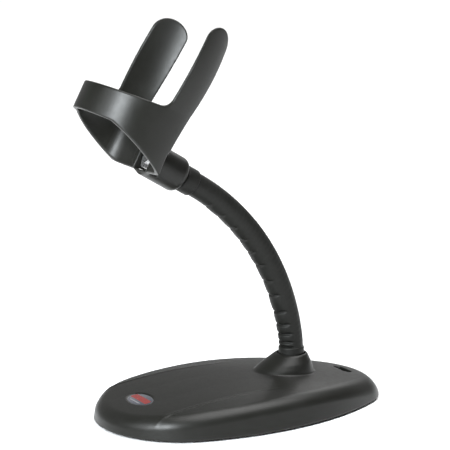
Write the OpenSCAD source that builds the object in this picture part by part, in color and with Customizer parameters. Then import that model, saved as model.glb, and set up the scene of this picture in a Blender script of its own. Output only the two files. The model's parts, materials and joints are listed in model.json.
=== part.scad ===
// Flexible-neck stand that holds a handheld barcode scanner for hands-free use.
// Millimetres. +Z is up and the front of the stand, with its badge, faces -Y.
// The origin is on the table, under the middle of the base. The stand is symmetric about X = 0.

/* [Base] */
// Length of the base, front to rear
base_l = 210; // [200:1:216]
// Radius of the broad front end of the base
front_r = 59; // [57:1:61]
// Radius of the narrower rear end of the base
rear_r = 40; // [38:1:42]
// Radius of the long sides of the base
side_r = 190; // [180:1:205]
// Height of the crown of the base cover
crown_z = 24; // [23:0.5:26]
// Radius of the crown of the base cover
crown_r = 485; // [470:5:540]
// Radius of the rounded upper edge of the base cover
edge_r = 7; // [6:0.5:7.5]
// How much softer the upper edge gets towards the rear end
rear_soft = 5; // [3:0.5:5]
// How far the side wall leans in from its foot to the rounded edge
wall_draft = 1.6; // [1:0.1:2]
// Thickness of the top of the base cover
cover_t = 2.8; // [2.4:0.1:3]
// Thickness of the steel ballast plate
ballast_t = 7; // [6:0.5:7]

/* [Neck] */
// Distance of the neck's foot behind the middle of the base
neck_y = 40; // [36:1:44]
// Radius of the bend that the neck is stored at
bend_r = 157; // [150:1:165]
// Outer diameter of the rubber sleeve
sleeve_d = 16.5; // [16:0.1:17]
// Outer diameter of the cuff at the foot of the neck
low_cuff_d = 17.8; // [17.4:0.1:18.2]
// Outer diameter of the cuff at the top of the neck
top_cuff_d = 18.4; // [18:0.1:19]
// Diameter of the steel core inside the sleeve
core_d = 11; // [10.6:0.1:11]

/* [Cup] */
// Outer diameter of the cup
cup_d = 75.8; // [74:0.2:80]
// Thickness of the cup's wall
cup_t = 3.2; // [2.8:0.1:3.4]
// Outer diameter of the socket that the neck screws into
socket_d = 24; // [23.6:0.2:25]
// Distance from the middle of the cup to the end of its socket
socket_reach = 50.4; // [49:0.1:51]
// Height of the tips of the two prongs above the middle of the cup
prong_h = 94.5; // [88:0.5:100]

/* [Hidden] */
$fn = 96;

// Base outline: front arc, side arcs and rear arc, tangent to each other.
front_c = -(base_l / 2 - front_r);
rear_c = base_l / 2 - rear_r;
front_reach = side_r - front_r;
rear_reach = side_r - rear_r;
side_y = (pow(front_reach, 2) - pow(rear_reach, 2)) / (2 * (rear_c - front_c)) + (front_c + rear_c) / 2;
side_x = -sqrt(pow(front_reach, 2) - pow(side_y - front_c, 2));
front_a = atan2(front_c - side_y, -side_x);
rear_a = atan2(rear_c - side_y, -side_x);

// Heights in the base, from the table up.
skirt_z = 1.5;
pad_t = 2;
pad_inset = 5;
plate_z = pad_t;
plate_t = 1.2;
ballast_z = plate_z + plate_t + 0.1;
ballast_top = ballast_z + ballast_t;
crown_y = 0;
wall_inset = 6;
plate_inset = 4;
ballast_inset = 16;
screw_at = [[38, -52], [-38, -52], [28, 58], [-28, 58]];
screw_l = 11;
screw_head_r = 2.9;
screw_sink = 0.6;
boss_r = 4.5;
screw_r = 1.25;
slot_y = 82;
slot_w = 18;
slot_t = 6;
exit_r = 4;
dome_z = 35;
dome_hole_r = 9.7;
badge_y = -77;
badge_tilt = asin((crown_y - badge_y) / crown_r);
badge_w = 26;
badge_l = 15;
badge_t = 0.8;

// Studs, washers and nuts of the neck's two ends.
stud_r = 3.9;
stud_hole_r = 4.3;
nut_af = 13;
foot_nut_t = 3;
head_nut_t = 6.5;
washer_r = 8;
washer_t = 1;
flange_t = 2;
counterbore_z = ballast_z + 4.6;
recess_l = 9;
recess_w = 17.4;

// Neck: joints every step degrees along one bend, numbered from 0 at the foot.
links = 10;
lean = 6.2;
step = 5.3;
foot_joint_z = 41;
bend_y = neck_y - bend_r * cos(lean);
bend_z = foot_joint_z - bend_r * sin(lean);
link_l = 2 * bend_r * sin(step / 2);
head_a = lean + links * step;
head_l = 11.7;
cuff_gap = 1.5;
low_cuff_z = 24;
ball_r = 4.5;
seat_r = 4.6;
ball_neck_r = 3;
core_gap = 1.6;
sleeve_gap = 1;
bore_r = core_d / 2 + 0.2;

// Cup, in its own frame: origin in the middle of the cup on the socket's axis,
// +Y towards the socket and +Z up through the mouth.
cup_r = cup_d / 2;
cup_tilt = 28;
back_y = 24;
back_r = 86;
back_c = back_y - back_r;
back_foot_y = 17;
back_round = 5;
floor_front_z = 10.5;
floor_front_y = -26;
floor_back_z = -8;
rim_front_z = 29.5;
rim_z = 33;
back_rim_z = 14;
socket_round = 5;
wall_nest = 0.05;
prong_t = 2.4;
prong_bow = 2.4;
prong_front_y = 2.4;
prong_back_y = 27;
prong_tip_r = 11;

function bend_pos(a) = [0, bend_y + bend_r * cos(a), bend_z + bend_r * sin(a)];
function joint_pos(i) = bend_pos(lean + i * step);
function crown(x, y) = crown_z - (pow(x, 2) + pow(y - crown_y, 2)) / (2 * crown_r);

// Places children at the last joint, with +Z along the neck's end, towards the cup.
module at_head() {
    translate(joint_pos(links)) rotate([head_a, 0, 0]) children();
}

// Places children at the middle of the cup, upright in the cup's own frame.
module at_cup() {
    at_head() translate([0, 0, head_l])
        rotate([-head_a - cup_tilt, 0, 0]) translate([0, -socket_reach, 0]) children();
}

// Places children at joint i with +Z along link i + 1, towards joint i + 1.
module at_link(i) {
    translate(joint_pos(i)) rotate([lean + (i + 0.5) * step, 0, 0]) children();
}

// ---- Base ----

// Stations round the base: [x, y, normal angle], the +X half from the front to the rear.
function half_stations() = concat(
    [for (i = [0:15]) let (a = -90 + (front_a + 90) * i / 15)
        [front_r * cos(a), front_c + front_r * sin(a), a]],
    [for (i = [1:9]) let (a = front_a + (rear_a - front_a) * i / 10)
        [side_x + side_r * cos(a), side_y + side_r * sin(a), a]],
    [for (i = [0:13]) let (a = rear_a + (90 - rear_a) * i / 13)
        [rear_r * cos(a), rear_c + rear_r * sin(a), a]]
);

// The whole outline, moved in by d along its normals, as [x, y] points.
function outline(d) = let (half = half_stations(), n = len(half)) concat(
    [for (s = half) [s[0] - d * cos(s[2]), s[1] - d * sin(s[2])]],
    [for (i = [n - 2:-1:1]) let (s = half[i]) [-(s[0] - d * cos(s[2])), s[1] - d * sin(s[2])]]
);

// The same outline as a flat shape with true arcs.
module egg(d) {
    translate([0, front_c]) circle(front_r - d);
    translate([0, rear_c]) circle(rear_r - d);
    low = front_c + (front_r - d) * sin(front_a);
    high = rear_c + (rear_r - d) * sin(rear_a);
    intersection() {
        translate([side_x, side_y]) circle(side_r - d, $fn = 360);
        translate([-side_x, side_y]) circle(side_r - d, $fn = 360);
        translate([-base_l, low]) square([2 * base_l, high - low]);
    }
}

// Radius of the rounded upper edge beside station y.
function edge_at(y) = edge_r + rear_soft * pow(max(0, y) / (base_l / 2), 2);

// Point d inwards of a station along its normal.
function inward(s, d) = [s[0] - d * cos(s[2]), s[1] - d * sin(s[2])];

// One half ring of the rounded edge, at angle a up from the wall.
function edge_half(a) = [for (s = half_stations())
    let (r = edge_at(s[1]), top = inward(s, wall_draft + r), p = inward(s, wall_draft + r * (1 - cos(a))))
        [p[0], p[1], crown(top[0], top[1]) - r * (1 - sin(a))]];

// Closes a half ring with its mirror image in X.
function mirrored(half) = concat(half,
    [for (i = [len(half) - 2:-1:1]) [-half[i][0], half[i][1], half[i][2]]]);

// Outside of the base cover: drafted wall, rounded edge and crowned top in one closed skin.
module cover_skin() {
    top = mirrored(edge_half(90));
    n = len(top);
    rings = concat(
        [[for (p = outline(0)) [p[0], p[1], skirt_z]]],
        [for (a = [0:18:90]) mirrored(edge_half(a))],
        [for (f = [0.3, 0.6, 0.85])
            [for (p = top) let (x = p[0] * (1 - f), y = p[1] * (1 - f) + crown_y * f) [x, y, crown(x, y)]]]
    );
    m = len(rings);
    points = concat([for (r = rings) each r], [[0, crown_y, crown_z]]);
    faces = concat(
        [[for (i = [0:n - 1]) i]],
        [for (r = [0:m - 2]) for (i = [0:n - 1]) let (j = (i + 1) % n)
            each [[r * n + j, r * n + i, (r + 1) * n + i], [r * n + j, (r + 1) * n + i, (r + 1) * n + j]]],
        [for (i = [0:n - 1]) [(m - 1) * n + (i + 1) % n, (m - 1) * n + i, m * n]]
    );
    polyhedron(points, faces);
}

// Dome round the neck's foot: gentle towards the front, steep at the back.
module dome() {
    hull() {
        translate([0, neck_y, dome_z - 2])
            cylinder(h = 2, r1 = dome_hole_r + 2.4, r2 = dome_hole_r + 1, $fn = 48);
        translate([0, neck_y - 0.5, 28]) cylinder(h = 1, r = 15, $fn = 48);
        translate([0, neck_y - 2, 20]) cylinder(h = 1, r = 17.2, $fn = 48);
        translate([0, neck_y - 20, 20]) cylinder(h = 2.6, r1 = 9.4, r2 = 7, $fn = 32);
    }
}

module slot_2d(w, t) {
    translate([-(w - t) / 2, 0]) circle(d = t);
    translate([(w - t) / 2, 0]) circle(d = t);
    square([w - t, t], center = true);
}

module oval_2d(w, l) {
    polygon([for (a = [0:7.5:352.5]) [w / 2 * cos(a), l / 2 * sin(a)]]);
}

module at_badge() {
    translate([0, badge_y, crown(0, badge_y)]) rotate([badge_tilt, 0, 0]) children();
}

module base_cover() {
    color([0.10, 0.10, 0.11]) difference() {
        union() {
            difference() {
                cover_skin();
                intersection() {
                    translate([0, 0, -1]) linear_extrude(crown_z + 2) egg(wall_inset);
                    translate([0, crown_y, crown_z - crown_r]) sphere(crown_r - cover_t, $fn = 200);
                }
            }
            dome();
            for (p = screw_at)
                translate([p[0], p[1], ballast_z])
                    cylinder(h = crown(p[0], p[1]) - cover_t / 2 - ballast_z, r = boss_r);
        }
        translate([0, neck_y, ballast_top]) cylinder(h = dome_z, r = dome_hole_r);
        for (p = screw_at)
            translate([p[0], p[1], 0]) cylinder(h = 14, r = screw_r + 0.05);
        translate([0, slot_y, 0]) linear_extrude(crown_z) slot_2d(slot_w, slot_t);
        translate([0, base_l / 2, skirt_z]) rotate([90, 0, 0])
            cylinder(h = 4 * wall_inset, r = exit_r, center = true);
        translate([0, 0, plate_z - 5]) linear_extrude(5 + plate_t) egg(plate_inset - 0.3);
        at_badge() translate([0, 0, -badge_t - 0.2]) linear_extrude(4) oval_2d(badge_w + 0.6, badge_l + 0.6);
    }
}

module ballast_plate() {
    color([0.42, 0.42, 0.42]) difference() {
        translate([0, 0, ballast_z]) linear_extrude(ballast_t) egg(ballast_inset);
        translate([0, neck_y, 0]) cylinder(h = 30, r = stud_hole_r);
        translate([0, neck_y, ballast_z - 1]) cylinder(h = counterbore_z - ballast_z + 1, r = washer_r + 1);
        for (p = screw_at) translate([p[0], p[1], 0]) cylinder(h = 30, r = boss_r + 0.7);
        translate([-slot_w / 2 - 2, slot_y - slot_t / 2 - 1.5, 0]) cube([slot_w + 4, base_l, 30]);
    }
}

module bottom_plate() {
    color([0.50, 0.51, 0.53]) difference() {
        translate([0, 0, plate_z]) linear_extrude(plate_t) egg(plate_inset);
        for (p = screw_at) translate([p[0], p[1], 0]) cylinder(h = 10, r = screw_r + 0.6);
        cable_way(3);
    }
}

// Gap left by the cable's way: up through the slot and out at the rear.
module cable_way(w) {
    translate([0, slot_y, -1]) linear_extrude(ballast_top) slot_2d(slot_w + w, slot_t + w);
    translate([-exit_r - w / 2, slot_y, -1]) cube([2 * exit_r + w, base_l, ballast_top]);
}

module rubber_pad() {
    color([0.06, 0.06, 0.06]) difference() {
        linear_extrude(pad_t) egg(pad_inset);
        for (p = screw_at) translate([p[0], p[1], -1]) cylinder(h = pad_t + 2, r = screw_head_r + 0.5);
        cable_way(2);
    }
}

module cover_screws() {
    color([0.70, 0.70, 0.72]) for (p = screw_at)
        translate([p[0], p[1], screw_sink]) difference() {
            union() {
                cylinder(h = pad_t - screw_sink, r1 = screw_head_r - 0.4, r2 = screw_head_r);
                cylinder(h = screw_l, r = screw_r);
            }
            for (a = [0, 90]) rotate([0, 0, a]) translate([-1.6, -0.3, -1]) cube([3.2, 0.6, 1.7]);
        }
}

module badge() {
    color([0.22, 0.22, 0.24]) at_badge()
        translate([0, 0, -badge_t]) linear_extrude(badge_t) oval_2d(badge_w, badge_l);
}

// ---- Neck ----

module nut(t) {
    difference() {
        cylinder(h = t, d = nut_af / cos(30), $fn = 6);
        translate([0, 0, -1]) cylinder(h = t + 2, r = stud_r + 0.08);
    }
}

module washer() {
    difference() {
        cylinder(h = washer_t, r = washer_r);
        translate([0, 0, -1]) cylinder(h = washer_t + 2, r = stud_hole_r);
    }
}

module foot_fitting() {
    color([0.66, 0.66, 0.68]) difference() {
        translate([0, neck_y, 0]) {
            translate([0, 0, ballast_z + 0.2]) cylinder(h = ballast_t, r = stud_r);
            translate([0, 0, ballast_top]) cylinder(h = flange_t, r = washer_r);
            translate([0, 0, ballast_top]) cylinder(h = foot_joint_z - ballast_top, r = core_d / 2);
        }
        translate([0, neck_y, foot_joint_z]) sphere(seat_r);
    }
}

module foot_washer() {
    color([0.74, 0.74, 0.76]) translate([0, neck_y, counterbore_z - washer_t]) washer();
}

module foot_nut() {
    color([0.74, 0.74, 0.76]) translate([0, neck_y, counterbore_z - washer_t - foot_nut_t]) nut(foot_nut_t);
}

// Rubber tube with rounded ends.
module tube(h, od, r_in, round = 0.8) {
    rotate_extrude() {
        translate([r_in, 0]) square([od / 2 - round - r_in, h]);
        translate([r_in, round]) square([od / 2 - r_in, h - 2 * round]);
        translate([od / 2 - round, round]) circle(round);
        translate([od / 2 - round, h - round]) circle(round);
    }
}

module lower_cuff() {
    color([0.07, 0.07, 0.07]) translate([0, neck_y, low_cuff_z])
        tube(foot_joint_z - cuff_gap - low_cuff_z, low_cuff_d, bore_r);
}

// Link i of the core: a ball on joint i - 1, and a seat for the next ball on joint i.
module neck_core(i) {
    color([0.60, 0.60, 0.62]) at_link(i - 1) difference() {
        union() {
            sphere(ball_r);
            cylinder(h = core_gap + 1, r = ball_neck_r);
            translate([0, 0, core_gap]) cylinder(h = link_l - core_gap, d = core_d);
        }
        translate([0, 0, link_l]) sphere(seat_r);
    }
}

module neck_sleeve(i) {
    color([0.07, 0.07, 0.07]) at_link(i - 1)
        translate([0, 0, sleeve_gap]) tube(link_l - 2 * sleeve_gap, sleeve_d, bore_r);
}

module upper_cuff() {
    color([0.07, 0.07, 0.07]) at_head() translate([0, 0, cuff_gap])
        tube(head_l - cuff_gap, top_cuff_d, bore_r);
}

// Length of the socket along the neck's axis, up to the seat of the washer.
socket_l = socket_reach - back_y + cup_t - recess_l;

// Ball end of the core, barrel inside the cuff and stud through the socket.
module head_fitting() {
    color([0.66, 0.66, 0.68]) at_head() {
        sphere(ball_r);
        cylinder(h = core_gap + 1, r = ball_neck_r);
        translate([0, 0, core_gap]) cylinder(h = head_l - core_gap, d = core_d);
        translate([0, 0, head_l - 1]) cylinder(h = 1 + socket_l + washer_t + head_nut_t + 1.5, r = stud_r);
    }
}

// ---- Cup ----

// Plan of the low part of the cup, moved in by d: round, with a flatter back and rounded corners.
module cup_plan(d) {
    big = cup_r - d;
    back = back_r - d;
    small = back_round - d;
    corner_y = (pow(back - small, 2) - pow(big - small, 2) - pow(back_c, 2)) / (-2 * back_c);
    corner = [sqrt(pow(big - small, 2) - pow(corner_y, 2)), corner_y];
    touch = corner * big / (big - small);
    end = [0, back_c] + (corner - [0, back_c]) * back / (back - small);
    intersection() {
        circle(big);
        translate([-cup_d, -cup_d]) square([2 * cup_d, cup_d + touch[1]]);
    }
    for (m = [-1, 1]) translate([m * corner[0], corner[1]]) circle(small);
    intersection() {
        translate([0, back_c]) circle(back, $fn = 240);
        translate([-end[0], 0]) square([2 * end[0], cup_d]);
    }
    polygon([
        [-touch[0], touch[1] - 1], [touch[0], touch[1] - 1], touch,
        end, [-end[0], end[1]], [-touch[0], touch[1]]
    ]);
}

// Side view of the low part: level in front, deeper towards the socket.
module ring_side() {
    polygon([
        [-cup_d, floor_front_z], [floor_front_y, floor_front_z],
        [back_foot_y, floor_back_z], [cup_d, floor_back_z],
        [cup_d, back_rim_z], [back_foot_y - cup_t, back_rim_z], [back_foot_y - cup_t, rim_z],
        [prong_front_y, rim_z], [-cup_r, rim_front_z], [-cup_d, rim_front_z]
    ]);
}

// Where a line from point p touches the circle at c, on the side given by its sign.
function touching(p, c, r, side) =
    let (v = c - p, d = norm(v), a = atan2(v[1], v[0]) + side * asin(r / d))
        p + sqrt(d * d - r * r) * [cos(a), sin(a)];

// Side view of a prong: a blade with a round tip, whose back edge sweeps down to the back wall.
module prong_side() {
    tip = [prong_back_y - prong_tip_r, prong_h - prong_tip_r];
    front = [prong_front_y - 0.6, rim_z + 10];
    back = [prong_back_y - 1.6, rim_z + 22];
    difference() {
        union() {
            translate(tip) circle(prong_tip_r);
            polygon([
                [front[0] - 6.4, rim_z - 6], [front[0] - 6.4, rim_z], front,
                touching(front, tip, prong_tip_r, 1), tip, touching(back, tip, prong_tip_r, -1), back,
                [prong_back_y - 3.8, rim_z + 10], [prong_back_y - 6.2, rim_z],
                [back_foot_y, back_rim_z - 4], [0, back_rim_z - 4]
            ]);
        }
        translate([front[0] - 7.6, rim_z + 6.4]) circle(6.4);
    }
}

// Turns a side view, drawn as [y, z], into a slab across the whole cup.
module across() {
    rotate([90, 0, 90]) linear_extrude(2 * cup_d, center = true) children();
}

// How far the prongs' wall stands out at height z.
function bow(z) = prong_bow * sin(180 * max(0, z - rim_z) / (prong_h + 1 - rim_z));

// Round wall that the prongs are cut from, bowed outwards halfway up.
module prong_shell() {
    low = back_rim_z - 6;
    rotate_extrude() polygon(concat(
        [[cup_r, low], [cup_r, rim_z]],
        [for (i = [1:8]) let (z = rim_z + (prong_h + 1 - rim_z) * i / 8) [cup_r + bow(z), z]],
        [for (i = [8:-1:1]) let (z = rim_z + (prong_h + 1 - rim_z) * i / 8) [cup_r - prong_t + bow(z), z]],
        [[cup_r - cup_t, rim_z], [cup_r - cup_t, low]]
    ));
}

module cup_wall() {
    intersection() {
        translate([0, 0, -cup_d]) linear_extrude(3 * cup_d) difference() {
            cup_plan(wall_nest);
            cup_plan(cup_t - wall_nest);
        }
        across() ring_side();
    }
    intersection() {
        prong_shell();
        across() prong_side();
    }
}

// Outside of the socket, with a rounded end at the neck.
module socket_body() {
    at_socket() rotate_extrude() {
        translate([0, socket_round]) square([socket_d / 2, socket_reach - socket_round - back_y + cup_t]);
        square([socket_d / 2 - socket_round, 2 * socket_round]);
        translate([socket_d / 2 - socket_round, socket_round]) circle(socket_round);
    }
}

// From the cup's frame to the socket's: +Z along the neck's axis, into the cup.
module at_socket() {
    translate([0, socket_reach, 0]) rotate([head_a + cup_tilt, 0, 0]) children();
}

module cup() {
    color([0.10, 0.10, 0.11]) at_cup() difference() {
        union() {
            cup_wall();
            difference() {
                socket_body();
                translate([0, 0, -cup_d]) linear_extrude(3 * cup_d) cup_plan(cup_t - 0.5);
            }
        }
        at_socket() {
            translate([-recess_w / 2, -recess_w / 2, socket_l]) cube([recess_w, recess_w, cup_r]);
            translate([0, 0, -1]) cylinder(h = cup_r + 1, r = stud_hole_r);
        }
    }
}

module cup_washer() {
    color([0.74, 0.74, 0.76]) at_head() translate([0, 0, head_l + socket_l]) washer();
}

module cup_nut() {
    color([0.74, 0.74, 0.76]) at_head() translate([0, 0, head_l + socket_l + washer_t]) nut(head_nut_t);
}

base_cover();
ballast_plate();
bottom_plate();
rubber_pad();
cover_screws();
badge();
foot_fitting();
foot_washer();
foot_nut();
lower_cuff();
for (i = [1:links]) neck_core(i);
for (i = [1:links]) neck_sleeve(i);
upper_cuff();
head_fitting();
cup();
cup_washer();
cup_nut();
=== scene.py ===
"""Looks of the flexible-neck stand.

Moulded base and cup, wrinkled rubber neck, badge, steel parts and a plain studio.
"""

import json
import math

import bpy
import numpy as np
import openvdb
from mathutils import Matrix, Vector


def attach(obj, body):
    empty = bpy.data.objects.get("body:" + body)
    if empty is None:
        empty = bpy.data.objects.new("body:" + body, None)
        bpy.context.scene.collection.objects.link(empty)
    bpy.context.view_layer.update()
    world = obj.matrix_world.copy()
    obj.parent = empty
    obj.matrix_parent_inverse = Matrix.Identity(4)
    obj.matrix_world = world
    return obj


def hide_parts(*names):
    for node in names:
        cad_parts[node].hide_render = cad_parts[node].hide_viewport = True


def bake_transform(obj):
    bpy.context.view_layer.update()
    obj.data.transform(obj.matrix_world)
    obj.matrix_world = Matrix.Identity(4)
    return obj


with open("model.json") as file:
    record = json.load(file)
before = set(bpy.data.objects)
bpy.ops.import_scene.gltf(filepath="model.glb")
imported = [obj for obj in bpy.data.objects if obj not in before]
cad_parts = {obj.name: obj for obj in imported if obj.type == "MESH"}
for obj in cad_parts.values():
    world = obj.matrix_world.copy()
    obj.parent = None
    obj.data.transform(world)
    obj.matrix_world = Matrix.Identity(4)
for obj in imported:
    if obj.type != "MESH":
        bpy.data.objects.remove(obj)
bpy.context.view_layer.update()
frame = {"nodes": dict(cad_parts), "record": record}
MM = 0.001

# Base, in millimetres: the same outline, crown and wall as the CAD cover.
BASE_L, FRONT_R, REAR_R, SIDE_R = 210.0, 59.0, 40.0, 190.0
CROWN_Z, CROWN_R, EDGE_R, REAR_SOFT = 24.0, 485.0, 7.0, 5.0
SKIRT_Z, COVER_T, WALL_SLOPE = 1.5, 2.8, 0.16
NECK_Y, DOME_Z, DOME_HOLE_R = 40.0, 35.0, 9.7
SLOT_Y, SLOT_W, SLOT_T = 82.0, 18.0, 6.0
BADGE_Y, BADGE_W, BADGE_L, BADGE_T = -77.0, 26.0, 15.0, 0.8
PLATE_TOP, PLATE_INSET = 3.2, 3.7
EXIT_R = 4.0
CREASE_X, CREASE_H = 39.0, 0.75

# Neck.
BEND_R, LEAN, STEP, LINKS, FOOT_Z = 157.0, 6.2, 5.3, 10, 41.0
BEND_Y = NECK_Y - BEND_R * math.cos(math.radians(LEAN))
BEND_Z = FOOT_Z - BEND_R * math.sin(math.radians(LEAN))
HEAD_A = LEAN + LINKS * STEP
HEAD_L, CUFF_GAP = 11.7, 1.5
MM_PER_DEGREE = 2.74
SLEEVE_R, BORE_R = 8.25, 5.75
LOW_CUFF_R, TOP_CUFF_R, LOW_CUFF_Z = 8.9, 9.2, 24.0

# Cup, in its own frame: +Y towards the socket, +Z up through the mouth.
# The rear corners, BACK_ROUND, are rounder than the CAD cup's.
CUP_R, CUP_T, CUP_TILT = 37.9, 3.2, 28.0
SOCKET_R, SOCKET_REACH, SOCKET_ROUND = 12.0, 50.4, 5.0
BACK_Y, BACK_R, BACK_ROUND = 24.0, 86.0, 16.0
BACK_C = BACK_Y - BACK_R
RIM_Z, RIM_FRONT_Z, BACK_RIM_Z = 33.0, 29.5, 14.0
FLOOR_FRONT_Z, FLOOR_FRONT_Y, FLOOR_BACK_Z, FLOOR_BACK_Y = 10.5, -26.0, -8.0, 17.0
PRONG_FRONT, PRONG_BACK, PRONG_H, PRONG_TIP, PRONG_T, PRONG_BOW = 2.4, 27.0, 94.5, 11.0, 2.4, 2.4
RECESS_W, RECESS_L = 17.4, 9.0
STUD_HOLE_R = 4.3


# ---- Shape tools: distances in millimetres, negative inside ----

def rounded(a, b, r):
    """Overlap of two shapes, with the edge where they meet rounded to radius r."""
    a, b = a + r, b + r
    outside = np.sqrt(np.maximum(a, 0) ** 2 + np.maximum(b, 0) ** 2)
    return np.minimum(np.maximum(a, b), 0) + outside - r


def joined(a, b, k):
    """Both shapes together, with a fillet about k wide where they meet."""
    h = np.clip(0.5 + 0.5 * (b - a) / k, 0, 1)
    return b + (a - b) * h - k * h * (1 - h)


def cut(a, b, k):
    """Shape a with b taken away, the edge softened over k."""
    return -joined(-a, b, k)


def polygon_field(y, z, points):
    """Signed distance to a closed polygon given as (y, z) corners."""
    best = np.full(np.broadcast(y, z).shape, 1e9)
    inside = np.zeros(best.shape, bool)
    n = len(points)
    for i in range(n):
        (y0, z0), (y1, z1) = points[i], points[(i + 1) % n]
        ey, ez = y1 - y0, z1 - z0
        t = np.clip(((y - y0) * ey + (z - z0) * ez) / (ey * ey + ez * ez), 0, 1)
        best = np.minimum(best, (y - y0 - t * ey) ** 2 + (z - z0 - t * ez) ** 2)
        if abs(ez) > 1e-9:
            crosses = ((z0 > z) != (z1 > z)) & (y < ey * (z - z0) / ez + y0)
            inside ^= crosses
    return np.where(inside, -1, 1) * np.sqrt(best)


def axes_for(low, high, voxel):
    """Grid lines from low to high as three arrays that broadcast to the whole block."""
    lines = [np.arange(a, b + voxel, voxel) for a, b in zip(low, high)]
    return lines[0][:, None, None], lines[1][None, :, None], lines[2][None, None, :]


def new_mesh(name, points, faces, material):
    """A smooth-shaded object made from points in metres and faces."""
    mesh = bpy.data.meshes.new(name)
    mesh.from_pydata([tuple(p) for p in points], [], [tuple(f) for f in faces])
    mesh.validate()
    mesh.polygons.foreach_set("use_smooth", [True] * len(mesh.polygons))
    mesh.materials.append(material)
    piece = bpy.data.objects.new(name, mesh)
    bpy.context.scene.collection.objects.link(piece)
    return piece


def skin_of(name, field, low, voxel, material, place=Matrix.Identity(4)):
    """A mesh of the zero surface of a field sampled from low upwards, placed in the object's frame."""
    grid = openvdb.FloatGrid(3.0)
    grid.copyFromArray(np.ascontiguousarray(np.clip(field / voxel, -3, 3), dtype=np.float32))
    points, quads = grid.convertToQuads(isovalue=0.0)
    points = (np.asarray(points, float) * voxel + np.array(low)) * MM
    matrix = np.array(place)
    points = points @ matrix[:3, :3].T + matrix[:3, 3]
    quads = np.asarray(quads)
    a, b, c = (points[quads[:, k]] for k in (0, 1, 2))
    volume = np.einsum("ij,ij->i", a, np.cross(b, c)).sum()
    if volume < 0:
        quads = quads[:, ::-1]
    mesh = bpy.data.meshes.new(name)
    mesh.vertices.add(len(points))
    mesh.vertices.foreach_set("co", points.astype(np.float32).ravel())
    mesh.loops.add(quads.size)
    mesh.loops.foreach_set("vertex_index", quads.astype(np.int32).ravel())
    mesh.polygons.add(len(quads))
    mesh.polygons.foreach_set("loop_start", np.arange(0, quads.size, 4, dtype=np.int32))
    mesh.update(calc_edges=True)
    mesh.validate()
    mesh.polygons.foreach_set("use_smooth", [True] * len(mesh.polygons))
    mesh.materials.append(material)
    piece = bpy.data.objects.new(name, mesh)
    bpy.context.scene.collection.objects.link(piece)
    return piece


def lathe(name, profile, place, material):
    """A turned piece from (radius, height) points, placed in the object's frame."""
    turns = 128
    angles = np.linspace(0, 2 * np.pi, turns, endpoint=False)
    points = [place @ Vector((r * math.cos(t), r * math.sin(t), h)) * MM for r, h in profile for t in angles]
    n = len(profile)
    faces = []
    for i in range(n):
        here, above = i * turns, (i + 1) % n * turns
        for j in range(turns):
            k = (j + 1) % turns
            faces.append((here + j, here + k, above + k, above + j))
    return new_mesh(name, points, faces, material)


def rounded_tube(r_in, r_out, low, high, r):
    """Profile of a tube whose outer edges are rounded to radius r."""
    quarter = [math.radians(a) for a in range(0, 91, 15)]
    top = [(r_out - r + r * math.cos(a), high - r + r * math.sin(a)) for a in quarter]
    bottom = [(r_out - r + r * math.sin(a), low + r - r * math.cos(a)) for a in quarter]
    return [(r_in, low)] + bottom + top + [(r_in, high)]


# ---- Materials ----

class Shader:
    """A node material built step by step round one principled shader."""

    def __init__(self, name):
        self.material = bpy.data.materials.new(name)
        self.material.use_nodes = True
        self.tree = self.material.node_tree
        self.surface = self.tree.nodes["Principled BSDF"]
        self.place = self.tree.nodes.new("ShaderNodeTexCoord").outputs["Object"]

    def set(self, **values):
        """Constant values, set directly on the shader's own sockets."""
        for key, value in values.items():
            self.surface.inputs[key.replace("_", " ").title().replace("Ior", "IOR")].default_value = value

    def noise(self, scale, detail=2.0, roughness=0.5):
        node = self.tree.nodes.new("ShaderNodeTexNoise")
        node.inputs["Scale"].default_value = scale
        node.inputs["Detail"].default_value = detail
        node.inputs["Roughness"].default_value = roughness
        self.tree.links.new(self.place, node.inputs["Vector"])
        return node.outputs["Fac"]

    def span(self, value, low, high, out_low, out_high):
        node = self.tree.nodes.new("ShaderNodeMapRange")
        node.inputs["From Min"].default_value = low
        node.inputs["From Max"].default_value = high
        node.inputs["To Min"].default_value = out_low
        node.inputs["To Max"].default_value = out_high
        self.tree.links.new(value, node.inputs["Value"])
        return node.outputs["Result"]

    def mix(self, value, a, b):
        node = self.tree.nodes.new("ShaderNodeMix")
        node.data_type = "RGBA"
        for socket, source in ((node.inputs[6], a), (node.inputs[7], b)):
            if isinstance(source, tuple):
                socket.default_value = source + (1,)
            else:
                self.tree.links.new(source, socket)
        self.tree.links.new(value, node.inputs[0])
        return node.outputs[2]

    def math(self, operation, a, b=None):
        node = self.tree.nodes.new("ShaderNodeMath")
        node.operation = operation
        for socket, source in zip(node.inputs, (a, b)):
            if source is None:
                continue
            if isinstance(source, (int, float)):
                socket.default_value = source
            else:
                self.tree.links.new(source, socket)
        return node.outputs[0]

    def feed(self, key, value):
        self.tree.links.new(value, self.surface.inputs[key])

    def bump(self, *layers):
        """Each layer is (height, strength, distance in metres)."""
        normal = None
        for height, strength, distance in layers:
            node = self.tree.nodes.new("ShaderNodeBump")
            node.inputs["Strength"].default_value = strength
            node.inputs["Distance"].default_value = distance
            self.tree.links.new(height, node.inputs["Height"])
            if normal is not None:
                self.tree.links.new(normal, node.inputs["Normal"])
            normal = node.outputs["Normal"]
        self.feed("Normal", normal)


def moulded_plastic():
    s = Shader("satin_plastic")
    fine, broad, wear = s.noise(2600, 3, 0.6), s.noise(38, 3), s.noise(260, 4, 0.7)
    patches = s.span(broad, 0.3, 0.7, 0, 1)
    s.feed("Base Color", s.mix(patches, (0.0076, 0.0077, 0.0062), (0.0100, 0.0100, 0.0088)))
    satin, scuffs = s.span(broad, 0.3, 0.7, 0.33, 0.39), s.span(wear, 0.4, 0.75, 0.0, 0.05)
    s.feed("Roughness", s.math("ADD", satin, scuffs))
    s.set(specular_ior_level=0.28, ior=1.5)
    s.bump((fine, 0.14, 0.0002), (wear, 0.05, 0.0004))
    return s.material


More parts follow.
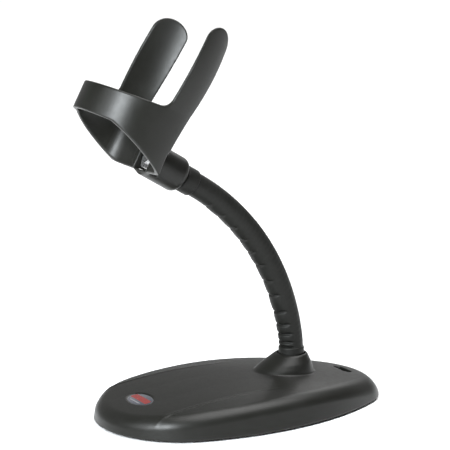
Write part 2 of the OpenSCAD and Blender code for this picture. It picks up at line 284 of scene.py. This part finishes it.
def neck_rubber():
    s = Shader("neck_rubber")
    fine, broad = s.noise(1900, 3, 0.6), s.noise(60, 3)
    patches = s.span(broad, 0.3, 0.7, 0, 1)
    s.feed("Base Color", s.mix(patches, (0.0070, 0.0071, 0.0060), (0.0095, 0.0095, 0.0085)))
    s.feed("Roughness", s.span(broad, 0.3, 0.7, 0.44, 0.54))
    s.set(specular_ior_level=0.20, ior=1.48)
    s.bump((fine, 0.22, 0.0003), (s.noise(170, 2), 0.12, 0.0008))
    return s.material


def pad_rubber():
    s = Shader("pad_rubber")
    s.feed("Base Color", s.mix(s.noise(90, 3), (0.008, 0.008, 0.008), (0.018, 0.018, 0.018)))
    s.set(roughness=0.8)
    s.bump((s.noise(1200, 2), 0.4, 0.0004))
    return s.material


def plated_steel():
    s = Shader("plated_steel")
    s.feed("Base Color", s.mix(s.noise(120, 3), (0.52, 0.52, 0.54), (0.62, 0.62, 0.61)))
    s.feed("Roughness", s.span(s.noise(700, 3), 0.3, 0.7, 0.22, 0.38))
    s.set(metallic=1.0)
    s.bump((s.noise(1500, 2), 0.08, 0.0002))
    return s.material


def ballast_iron():
    s = Shader("ballast_iron")
    s.feed("Base Color", s.mix(s.noise(60, 4), (0.06, 0.058, 0.055), (0.12, 0.115, 0.11)))
    s.set(metallic=0.6, roughness=0.65)
    s.bump((s.noise(500, 4), 0.5, 0.0008))
    return s.material


def badge_print():
    """Printed oval: a plain red band across a dark grey field, with a pale rim."""
    s = Shader("badge_print")
    split = s.tree.nodes.new("ShaderNodeSeparateXYZ")
    s.tree.links.new(s.place, split.inputs[0])
    x, y = split.outputs[0], split.outputs[1]
    far = s.math("SQRT", s.math("ADD", s.math("POWER", s.math("DIVIDE", x, BADGE_W / 2 * MM), 2.0),
                                s.math("POWER", s.math("DIVIDE", y, BADGE_L / 2 * MM), 2.0)))
    band = s.math("LESS_THAN", s.math("ABSOLUTE", s.math("SUBTRACT", y, 0.0006)), 0.0026)
    stripe = s.math("LESS_THAN", s.math("ABSOLUTE", s.math("SUBTRACT", y, -0.0042)), 0.0005)
    inner = s.math("LESS_THAN", far, 0.86)
    field = s.mix(s.span(x, -0.012, 0.012, 0, 1), (0.10, 0.10, 0.11), (0.03, 0.032, 0.045))
    colour = s.mix(s.math("MULTIPLY", band, inner), field, (0.17, 0.017, 0.015))
    colour = s.mix(s.math("MULTIPLY", stripe, s.math("LESS_THAN", far, 0.75)), colour, (0.16, 0.16, 0.17))
    s.feed("Base Color", s.mix(s.math("GREATER_THAN", far, 0.93), colour, (0.06, 0.06, 0.065)))
    s.set(roughness=0.25, coat_weight=0.15, coat_roughness=0.08)
    s.bump((s.noise(900, 2), 0.05, 0.0002))
    return s.material


LOOKS = {
    "satin_plastic": moulded_plastic(),
    "neck_rubber": neck_rubber(),
    "pad_rubber": pad_rubber(),
    "plated_steel": plated_steel(),
    "ballast_iron": ballast_iron(),
    "badge_print": badge_print(),
}


# ---- Base cover ----

def outline_field(x, y):
    """Distance to the base's outline: front arc, side arcs and rear arc."""
    front_c, rear_c = FRONT_R - BASE_L / 2, BASE_L / 2 - REAR_R
    front_reach, rear_reach = SIDE_R - FRONT_R, SIDE_R - REAR_R
    side_y = (front_reach ** 2 - rear_reach ** 2) / (2 * (rear_c - front_c)) + (front_c + rear_c) / 2
    side_x = -math.sqrt(front_reach ** 2 - (side_y - front_c) ** 2)
    x = np.abs(x)
    to_front = (-side_x, front_c - side_y)
    to_rear = (-side_x, rear_c - side_y)
    in_front = to_front[0] * (y - front_c) - to_front[1] * x < 0
    in_rear = to_rear[0] * (y - rear_c) - to_rear[1] * x > 0
    side = np.hypot(x - side_x, y - side_y) - SIDE_R
    return np.where(in_front, np.hypot(x, y - front_c) - FRONT_R,
                    np.where(in_rear, np.hypot(x, y - rear_c) - REAR_R, side))


def smooth_step(v, low, high):
    t = np.clip((v - low) / (high - low), 0, 1)
    return t * t * (3 - 2 * t)


def top_height(x, y):
    """Crown of the cover, with a soft crease along each side that fades out at both ends."""
    crown = CROWN_Z - (x ** 2 + y ** 2) / (2 * CROWN_R)
    fade = smooth_step(-y, -22, 40) * smooth_step(y, -100, -74)
    line = CREASE_X + 0.03 * (-y - 40)
    out = np.abs(x) - line
    ridge = np.where(out < 0, 1 + out / 26, 1 - out / 15)
    bead = 0.42 * np.exp(-(out / 1.0) ** 2)
    return crown + (CREASE_H * np.clip(ridge, 0, 1) + bead) * fade


def dome_field(x, y, z):
    """Dome round the neck's foot, oval at its own foot and gentle towards the front."""
    levels = [19, 23, 25.5, 29, 33, 35]
    front = np.interp(z, levels, [8.0, 11.6, 14.2, 19.4, 26.2, 29.1])
    rear = np.interp(z, levels, [56.6, 55.6, 54.9, 53.7, 51.7, 50.9])
    half = np.interp(z, levels, [18.4, 17.6, 16.8, 15.1, 12.3, 10.9])
    length = (rear - front) / 2
    far = np.sqrt((x / half) ** 2 + ((y - (front + rear) / 2) / length) ** 2)
    return rounded((far - 1) * half * 0.85, z - DOME_Z, 1.4)


def slot_field(x, y):
    return np.hypot(np.maximum(np.abs(x) - (SLOT_W - SLOT_T) / 2, 0), y - SLOT_Y) - SLOT_T / 2


def badge_frame():
    z = CROWN_Z - BADGE_Y ** 2 / (2 * CROWN_R)
    tilt = math.asin(-BADGE_Y / CROWN_R)
    return Matrix.Translation(Vector((0, BADGE_Y, z)) * MM) @ Matrix.Rotation(tilt, 4, "X"), z, tilt


def base_cover():
    """The cover as one skin: shell, dome, slot, cable exit and seat for the badge."""
    voxel = 0.6
    low, high = (-66, -108, -0.6), (66, 108, 37)
    x, y, z = axes_for(low, high, voxel)
    edge_r = EDGE_R + REAR_SOFT * (np.maximum(0, y) / (BASE_L / 2)) ** 2
    wall = outline_field(x, y) + WALL_SLOPE * (z - SKIRT_Z)
    top = z - top_height(x, y)
    outside = rounded(wall, top, edge_r)
    outside = joined(outside, dome_field(x, y, z), 1.1)
    inside = outside + COVER_T
    body = np.maximum(outside, -inside)
    body = rounded(body, SKIRT_Z - z, 0.5)
    body = np.maximum(body, -np.maximum(outline_field(x, y) + PLATE_INSET, z - PLATE_TOP))
    body = cut(body, np.maximum(np.hypot(x, y - NECK_Y) - DOME_HOLE_R, 12 - z), 0.7)
    body = cut(body, np.maximum(slot_field(x, y), 5 - z), 1.0)
    body = cut(body, np.maximum(np.hypot(x, z - SKIRT_Z) - EXIT_R, 60 - y), 0.6)
    _, badge_z, tilt = badge_frame()
    along = (y - BADGE_Y) * math.cos(tilt) + (z - badge_z) * math.sin(tilt)
    up = -(y - BADGE_Y) * math.sin(tilt) + (z - badge_z) * math.cos(tilt)
    oval = (np.sqrt((x / (BADGE_W / 2 + 0.35)) ** 2 + (along / (BADGE_L / 2 + 0.35)) ** 2) - 1) * BADGE_L / 2
    body = cut(body, np.maximum(oval, -BADGE_T - 0.1 - up), 0.5)
    piece = skin_of("cover_skin", body, low, voxel, LOOKS["satin_plastic"])
    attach(piece, "base")
    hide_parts("base_cover")


def badge():
    place, _, _ = badge_frame()
    around, rings = 96, 10
    sink, bulge, lip, lip_at = 0.30, 0.22, 0.35, 0.93
    points, faces = [], []
    for i in range(rings + 1):
        f = i / rings
        lift = -sink - bulge * f ** 2 - lip * max(0, f - lip_at) / 0.07
        for j in range(around):
            t = 2 * math.pi * j / around
            points.append((BADGE_W / 2 * f * math.cos(t), BADGE_L / 2 * f * math.sin(t), lift))
    for j in range(around):
        t = 2 * math.pi * j / around
        points.append((BADGE_W / 2 * math.cos(t), BADGE_L / 2 * math.sin(t), -BADGE_T))
    for i in range(rings + 1):
        here, beyond = i * around, (i + 1) * around
        for j in range(around):
            k = (j + 1) % around
            faces.append((here + j, beyond + j, beyond + k, here + k))
    piece = new_mesh("badge_disc", [Vector(p) * MM for p in points], faces, LOOKS["badge_print"])
    piece.matrix_world = place
    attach(piece, "base")
    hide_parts("badge")


# ---- Neck ----

def bend_point(a, r=BEND_R):
    a = math.radians(a)
    return np.array([0.0, BEND_Y + r * math.cos(a), BEND_Z + r * math.sin(a)])


def tangent(a):
    a = math.radians(a)
    return np.array([0.0, -math.sin(a), math.cos(a)])


def head_frame():
    place = Matrix.Translation(Vector(bend_point(HEAD_A)))
    return place @ Matrix.Rotation(math.radians(HEAD_A), 4, "X")


def neck_line():
    """Stations up the neck as (bend angle, centre, direction): an easy start, the bend, then straight."""
    start_a, foot_z, easy_l = 8.5, 34.5, 12.7
    foot = np.array([0.0, NECK_Y, foot_z])
    first = bend_point(start_a)
    middle = first - tangent(start_a) * ((NECK_Y - first[1]) / math.sin(math.radians(start_a)))
    line = []
    for t in np.linspace(0, 1, 36, endpoint=False):
        p = (1 - t) ** 2 * foot + 2 * t * (1 - t) * middle + t * t * first
        d = 2 * (1 - t) * (middle - foot) + 2 * t * (first - middle)
        line.append((start_a - easy_l * (1 - t) / MM_PER_DEGREE, p, d / np.linalg.norm(d)))
    for a in np.arange(start_a, HEAD_A, 0.11):
        line.append((a, bend_point(a), tangent(a)))
    for s in np.arange(0, 6.01, 0.3):
        line.append((HEAD_A + s / MM_PER_DEGREE, bend_point(HEAD_A) + tangent(HEAD_A) * s, tangent(HEAD_A)))
    return line


def crease_angles():
    """Where the sleeve folds: close together at the foot, further apart up the bend."""
    random = np.random.default_rng(7)
    angles, a, gap = [], 5.6, 1.7
    while a < HEAD_A - 3:
        angles.append((a, random.uniform(0.75, 1.15), random.uniform(-0.5, 0.5), random.uniform(0, 6.28)))
        a += gap * random.uniform(0.88, 1.12)
        gap = min(4.7, gap * 1.28)
    return angles


def sleeve_radius(a, phi, creases):
    """Radius of the sleeve at bend angle a; phi is 0 on the inside of the bend."""
    inner = np.cos(phi)
    girth = SLEEVE_R + 0.32 * math.exp(-((a - 32) / 16) ** 2) - 0.12 * smooth_step(a, 45, 60)
    start = 0.22 + 0.36 * smooth_step(a, 8, 30)
    reach = smooth_step(inner, start, start + 0.38)
    fold = np.zeros_like(phi)
    for i, (at, depth, skew, phase) in enumerate(creases):
        low = 1.15 if at < 26 else 0.85
        shift = (a - at) * MM_PER_DEGREE + 0.9 * skew * np.sin(phi + phase) + 0.5 * (1 - inner) * skew
        width = 0.75 + 0.25 * (1 - inner)
        fold -= low * depth * np.exp(-(shift / width) ** 2)
        if i + 1 < len(creases):
            span = (creases[i + 1][0] - at) * MM_PER_DEGREE
            u = np.clip(shift / span, 0, 1)
            fold += 0.42 * low * depth * (4 * u * (1 - u)) * min(1, span / 8)
    ripple = 0.03 * np.sin(a * 5.1 + 2 * np.sin(phi * 2)) * (1 - reach)
    return girth + fold * reach + ripple


def neck_sleeve():
    """The continuous rubber skin, in one piece per joint."""
    line, creases, around = neck_line(), crease_angles(), 112
    phi = np.linspace(0, 2 * np.pi, around, endpoint=False)
    side = np.array([1.0, 0.0, 0.0])
    rows = []
    for a, centre, direction in line:
        inward = np.cross(side, direction)
        inward = inward if inward[1] < 0 else -inward
        r = sleeve_radius(a, phi, creases)
        rows.append(centre + r[:, None] * (np.cos(phi)[:, None] * inward + np.sin(phi)[:, None] * side))
    rows = np.array(rows)
    angles = np.array([a for a, _, _ in line])
    along = np.gradient(rows, axis=0)
    across = np.roll(rows, -1, axis=1) - np.roll(rows, 1, axis=1)
    normals = np.cross(across, along)
    normals /= np.linalg.norm(normals, axis=2, keepdims=True)
    centres = np.array([c for _, c, _ in line])
    if np.einsum("ijk,ijk->", normals, rows - centres[:, None]) < 0:
        normals = -normals
    edges = [0] + [int(np.argmin(np.abs(angles - (LEAN + (k - 0.5) * STEP)))) for k in range(1, LINKS + 1)]
    edges.append(len(line) - 1)
    for k in range(LINKS + 1):
        block = rows[edges[k]:edges[k + 1] + 1]
        n = len(block)
        faces = []
        for i in range(n - 1):
            here, above = i * around, (i + 1) * around
            for j in range(around):
                after = (j + 1) % around
                faces.append((here + j, here + after, above + after, above + j))
        piece = new_mesh(f"sleeve_skin_{k}", block.reshape(-1, 3) * MM, faces, LOOKS["neck_rubber"])
        flat = normals[edges[k]:edges[k + 1] + 1].reshape(-1, 3)
        face = piece.data.polygons[0]
        if np.dot(np.array(face.normal), flat[face.vertices[0]]) < 0:
            piece.data.flip_normals()
        piece.data.normals_split_custom_set_from_vertices([tuple(v) for v in flat])
        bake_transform(piece)
        if k:
            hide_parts(f"neck_sleeve_{k}")


def cuffs():
    place = Matrix.Translation(Vector((0, NECK_Y, 0)))
    low = lathe("cuff_low", rounded_tube(BORE_R, LOW_CUFF_R, LOW_CUFF_Z, FOOT_Z - CUFF_GAP, 1.3), place,
                LOOKS["neck_rubber"])
    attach(low, "base")
    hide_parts("lower_cuff")
    top = lathe("cuff_top", rounded_tube(BORE_R, TOP_CUFF_R, CUFF_GAP, HEAD_L, 1.3), head_frame(),
                LOOKS["neck_rubber"])
    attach(top, "head")
    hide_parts("upper_cuff")


# ---- Cup ----

def cup_frame():
    """Matrix from the cup's own frame, in metres, to the object's frame."""
    end = Vector(bend_point(HEAD_A)) + Vector(tangent(HEAD_A)) * HEAD_L
    tilt = Matrix.Rotation(math.radians(-CUP_TILT), 4, "X")
    return Matrix.Translation(end * MM) @ tilt @ Matrix.Translation(Vector((0, -SOCKET_REACH, 0)) * MM)


def plan_field(x, y):
    """Distance to the ring's plan: round, with a flatter back and rounded corners."""
    x = np.abs(x)
    big, back = CUP_R - BACK_ROUND, BACK_R - BACK_ROUND
    corner_y = (back ** 2 - big ** 2 - BACK_C ** 2) / (-2 * BACK_C)
    corner_x = math.sqrt(big ** 2 - corner_y ** 2)
    in_round = corner_x * y - corner_y * x < 0
    in_back = corner_x * (y - BACK_C) - (corner_y - BACK_C) * x > 0
    return np.where(in_round, np.hypot(x, y) - CUP_R,
                    np.where(in_back, np.hypot(x, y - BACK_C) - BACK_R,
                             np.hypot(x - corner_x, y - corner_y) - BACK_ROUND))


def touching(p, c, r, side):
    """Where a line from p touches the circle at c, on one side."""
    dy, dz = c[0] - p[0], c[1] - p[1]
    d = math.hypot(dy, dz)
    a = math.atan2(dz, dy) + side * math.asin(r / d)
    reach = math.sqrt(d * d - r * r)
    return p[0] + reach * math.cos(a), p[1] + reach * math.sin(a)


def ring_side(y, z):
    """Side view of the ring: level in front, deeper towards the socket."""
    far = 60.0
    return polygon_field(y, z, [
        (-far, FLOOR_FRONT_Z), (FLOOR_FRONT_Y, FLOOR_FRONT_Z), (FLOOR_BACK_Y, FLOOR_BACK_Z),
        (FLOOR_BACK_Y - CUP_T, RIM_Z), (PRONG_FRONT, RIM_Z), (-CUP_R, RIM_FRONT_Z), (-far, RIM_FRONT_Z)])


def prong_side(y, z):
    """Side view of a prong: a blade with a round tip and a curved rear edge."""
    tip = (PRONG_BACK - PRONG_TIP, PRONG_H - PRONG_TIP)
    front = (PRONG_FRONT - 0.6, RIM_Z + 8)
    sweep = [(PRONG_BACK - 0.002 * (tip[1] - h) ** 2, h) for h in np.linspace(tip[1], BACK_RIM_Z - 4, 14)]
    blade = polygon_field(y, z, [
        (front[0] - 0.6, RIM_Z - 8), front, touching(front, tip, PRONG_TIP, 1), tip,
        *sweep, (0, BACK_RIM_Z - 4)])
    return np.minimum(blade, np.hypot(y - tip[0], z - tip[1]) - PRONG_TIP)


def cup():
    """The cup as one skin: ring, prongs, rear wall and socket with its square recess."""
    voxel = 0.5
    low, high = (-43, -40, -14), (43, 54, 98)
    x, y, z = axes_for(low, high, voxel)
    bow = PRONG_BOW * np.sin(np.pi * np.clip((z - RIM_Z) / (PRONG_H + 1 - RIM_Z), 0, 1))
    wall_t = CUP_T - (CUP_T - PRONG_T) * smooth_step(z, RIM_Z - 4, RIM_Z + 12)
    shell = np.abs(np.hypot(x, y) - (CUP_R + bow - wall_t / 2)) - wall_t / 2
    sides = joined(ring_side(y, z), prong_side(y, z), 7.0)
    ring = rounded(shell, sides, 1.0)
    plan = plan_field(x, y)
    low_side = polygon_field(y, z, [
        (-60, FLOOR_FRONT_Z), (FLOOR_FRONT_Y, FLOOR_FRONT_Z),
        (FLOOR_BACK_Y, FLOOR_BACK_Z), (60, FLOOR_BACK_Z), (60, BACK_RIM_Z), (-60, BACK_RIM_Z)])
    back = rounded(np.abs(plan + CUP_T / 2) - CUP_T / 2, low_side, 1.0)
    wall = np.minimum(ring, np.maximum(back, 9 - y))
    lean = math.radians(HEAD_A + CUP_TILT)
    into = -(y - SOCKET_REACH) * math.sin(lean) + z * math.cos(lean)
    over = (y - SOCKET_REACH) * math.cos(lean) + z * math.sin(lean)
    socket = rounded(np.hypot(x, over) - SOCKET_R, -into, SOCKET_ROUND)
    socket = np.maximum(np.maximum(socket, -(plan + CUP_T - 0.6)), 12 - y)
    body = joined(wall, socket, 2.6)
    seat = SOCKET_REACH - BACK_Y + CUP_T - RECESS_L
    pocket = np.maximum(np.maximum(np.abs(x), np.abs(over)) - RECESS_W / 2, seat - into)
    pocket = np.maximum(pocket, -y)
    body = cut(body, pocket, 0.8)
    body = cut(body, np.maximum(np.hypot(x, over) - STUD_HOLE_R, 8 - y), 0.4)
    piece = skin_of("cup_skin", body, low, voxel, LOOKS["satin_plastic"], cup_frame())
    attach(piece, "head")
    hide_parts("cup")


# ---- Steel and rubber parts that keep their CAD shape ----

def dress_cad_parts():
    for entry in frame["record"]["subparts"]:
        node = frame["nodes"][entry["node"]]
        if node.hide_render:
            continue
        if node.material_slots:
            node.material_slots[0].material = LOOKS[entry["material_slot"]]


# ---- Studio ----

def area_light(name, at, target, size, power, color=(1, 1, 1), height=None):
    light = bpy.data.lights.new(name, "AREA")
    light.shape = "RECTANGLE"
    light.size, light.size_y = size, height or size
    light.energy, light.color = power, color
    lamp = bpy.data.objects.new(name, light)
    lamp.location = at
    lamp.rotation_euler = (Vector(target) - Vector(at)).to_track_quat("-Z", "Y").to_euler()
    bpy.context.scene.collection.objects.link(lamp)


def studio():
    floor_look = bpy.data.materials.new("floor")
    floor_look.use_nodes = True
    surface = floor_look.node_tree.nodes["Principled BSDF"]
    surface.inputs["Base Color"].default_value = (0.93, 0.93, 0.93, 1)
    surface.inputs["Roughness"].default_value = 0.9
    size = 12.0
    corners = [(-size, -size, 0), (size, -size, 0), (size, size, 0), (-size, size, 0)]
    floor = new_mesh("floor", corners, [(0, 1, 2, 3)], floor_look)
    world = bpy.data.worlds.new("studio")
    world.use_nodes = True
    tree = world.node_tree
    place = tree.nodes.new("ShaderNodeTexCoord").outputs["Generated"]
    towards = tree.nodes.new("ShaderNodeVectorMath")
    towards.operation = "DOT_PRODUCT"
    towards.inputs[1].default_value = (-0.87, 0.49, 0.0)
    tree.links.new(place, towards.inputs[0])
    glow = tree.nodes.new("ShaderNodeMapRange")
    for key, number in (("From Min", 0.0), ("From Max", 1.0), ("To Min", 0.04), ("To Max", 0.38)):
        glow.inputs[key].default_value = number
    tree.links.new(towards.outputs["Value"], glow.inputs["Value"])
    tree.links.new(glow.outputs["Result"], tree.nodes["Background"].inputs["Strength"])
    tree.nodes["Background"].inputs["Color"].default_value = (1, 1, 1, 1)
    bpy.context.scene.world = world
    sun = bpy.data.lights.new("ceiling", "SUN")
    sun.energy, sun.angle = 3.3, math.radians(50)
    lamp = bpy.data.objects.new("ceiling", sun)
    lamp.rotation_euler = (math.radians(-14), math.radians(8), 0)
    bpy.context.scene.collection.objects.link(lamp)
    area_light("key", (0.78, -1.22, 0.84), (0, -0.06, 0.17), 0.5, 48, (0.92, 0.97, 1.0), 0.6)
    area_light("left", (0.1, -1.6, 0.9), (0, 0, 0.12), 0.9, 9, (0.95, 0.98, 1.0))
    area_light("rear", (-0.9, 1.1, 1.0), (0, 0, 0.12), 0.8, 4)
    bpy.context.scene.view_settings.view_transform = "Standard"


def camera():
    cam = bpy.data.cameras.new("camera")
    cam.lens, cam.sensor_width = 163.3, 36.0
    cam.clip_end = 30
    rig = bpy.data.objects.new("camera", cam)
    rig.location = (1.16887, -0.66471, 0.39969)
    rig.rotation_euler = Vector((-0.85590, 0.47770, -0.19807)).to_track_quat("-Z", "Y").to_euler()
    bpy.context.scene.collection.objects.link(rig)
    bpy.context.scene.camera = rig


base_cover()
badge()
neck_sleeve()
cuffs()
cup()
dress_cad_parts()
studio()
camera()
